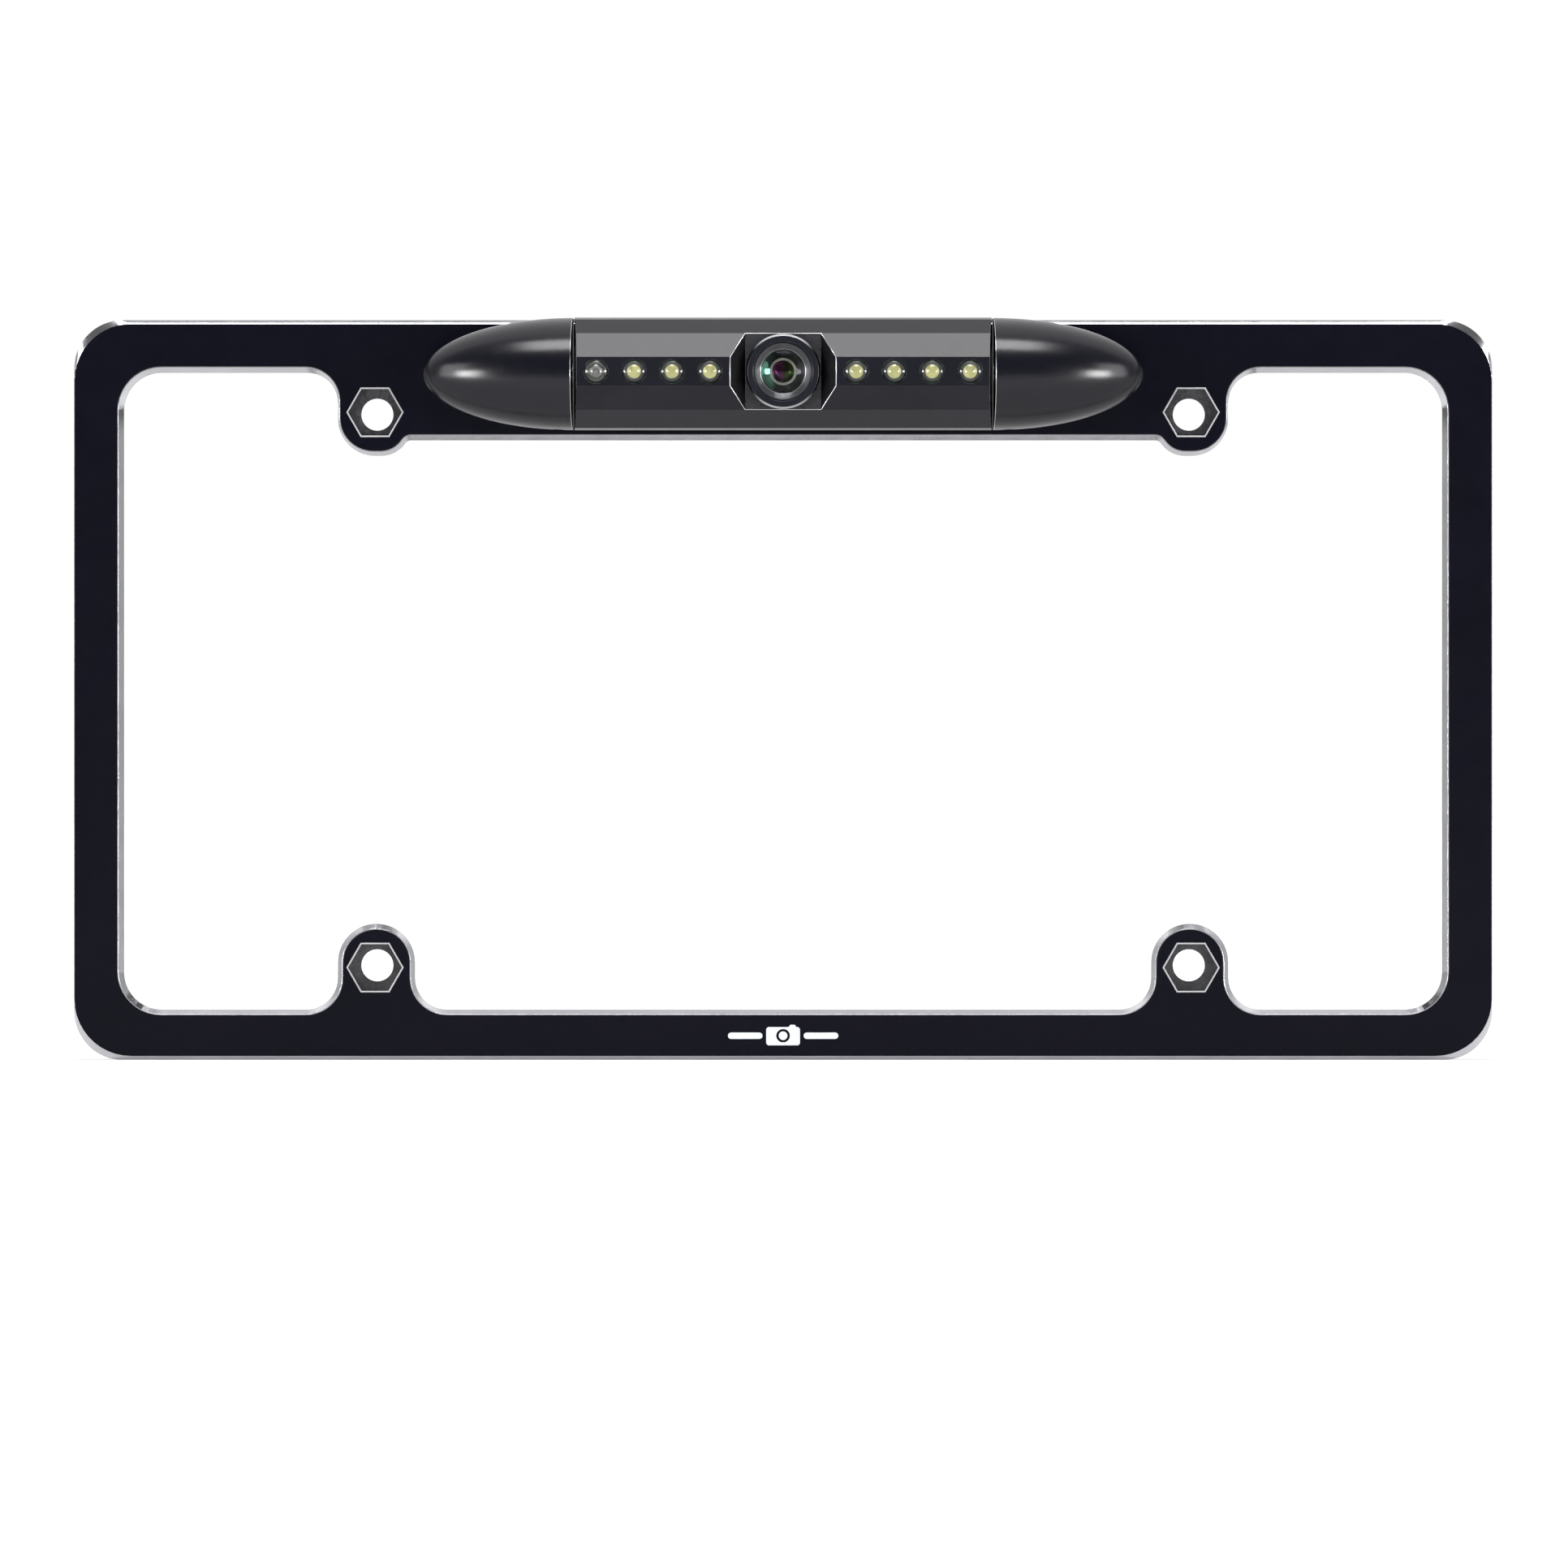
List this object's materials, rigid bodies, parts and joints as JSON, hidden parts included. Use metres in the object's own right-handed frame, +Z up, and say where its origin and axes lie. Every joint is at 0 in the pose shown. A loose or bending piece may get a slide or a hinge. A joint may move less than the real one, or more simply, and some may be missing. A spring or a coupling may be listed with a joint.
{
  "type": "licence plate frame backup camera",
  "caption": "Licence plate frame with an open window, bolt lobes and a bullet-ended top bar that carries a tilting lens barrel with a row of lamps.",
  "frame": {"origin": "centre of the four plate bolts, on the plane where the licence plate lies against the back of the frame", "axes": "+X to the right of a person facing the front, +Z up the plate, the front faces -Y"},
  "size_m": [0.3106, 0.0323, 0.1626],
  "materials": {
    "bright_casting": "satin chrome on die-cast zinc",
    "black_face": "smooth black enamel",
    "cap_black": "gloss black lacquer",
    "barrel_grey": "satin gunmetal lacquer",
    "rear_black": "fine moulded grain",
    "screw_steel": "zinc plated",
    "black_steel": "black oxide",
    "seal_rubber": "matt",
    "bezel_grey": "fine moulded grain",
    "lens_black": "black anodised, turned",
    "coated_glass": "green anti-reflection coating",
    "lens_glass": "purple anti-reflection coating",
    "filter_glass": "tinted filter",
    "ring_metal": "turned",
    "mount_black": "moulded",
    "sensor_chip": "chip under cover glass",
    "circuit_board": "green solder mask",
    "connector_ivory": "moulded",
    "clear_epoxy": "clear cast epoxy",
    "phosphor": "yellow phosphor gel",
    "lead_metal": "tinned",
    "cell_metal": "cup with a dark chip"
  },
  "bodies": {
    "frame": {"plate_frame": "bright_casting", "face_panel": "black_face", "left_end_cap": "cap_black", "right_end_cap": "cap_black", "cap_screws": "screw_steel", "tilt_lock_screws": "black_steel", "friction_washers": "seal_rubber", "cable_grommet": "seal_rubber"},
    "barrel": {"front_shell": "barrel_grey", "rear_cover": "rear_black", "cover_gasket": "seal_rubber", "cover_screws": "screw_steel", "left_end_plate": "rear_black", "right_end_plate": "rear_black", "left_pivot_pin": "screw_steel", "right_pivot_pin": "screw_steel", "camera_bezel": "bezel_grey", "lens_guard_ring": "lens_black", "lens_barrel": "lens_black", "front_glass": "coated_glass", "lens_retaining_ring": "ring_metal", "inner_lens": "lens_glass", "rear_lens": "lens_glass", "ir_filter": "filter_glass", "lens_mount": "mount_black", "image_sensor": "sensor_chip", "camera_board": "circuit_board", "board_screws": "screw_steel", "board_connector": "connector_ivory", "left_lamp_board": "circuit_board", "right_lamp_board": "circuit_board", "lamp_lenses": "clear_epoxy", "lamp_phosphors": "phosphor", "lamp_leads": "lead_metal", "light_sensor_dome": "clear_epoxy", "light_sensor_cell": "cell_metal"}
  },
  "joints": [
    {"name": "camera_tilt", "type": "hinge", "parent": "frame", "child": "barrel", "pos_m": [0, -0.0169, 0.06913], "axis": [1, 0, 0], "range_deg": [-15, 45]}
  ]
}
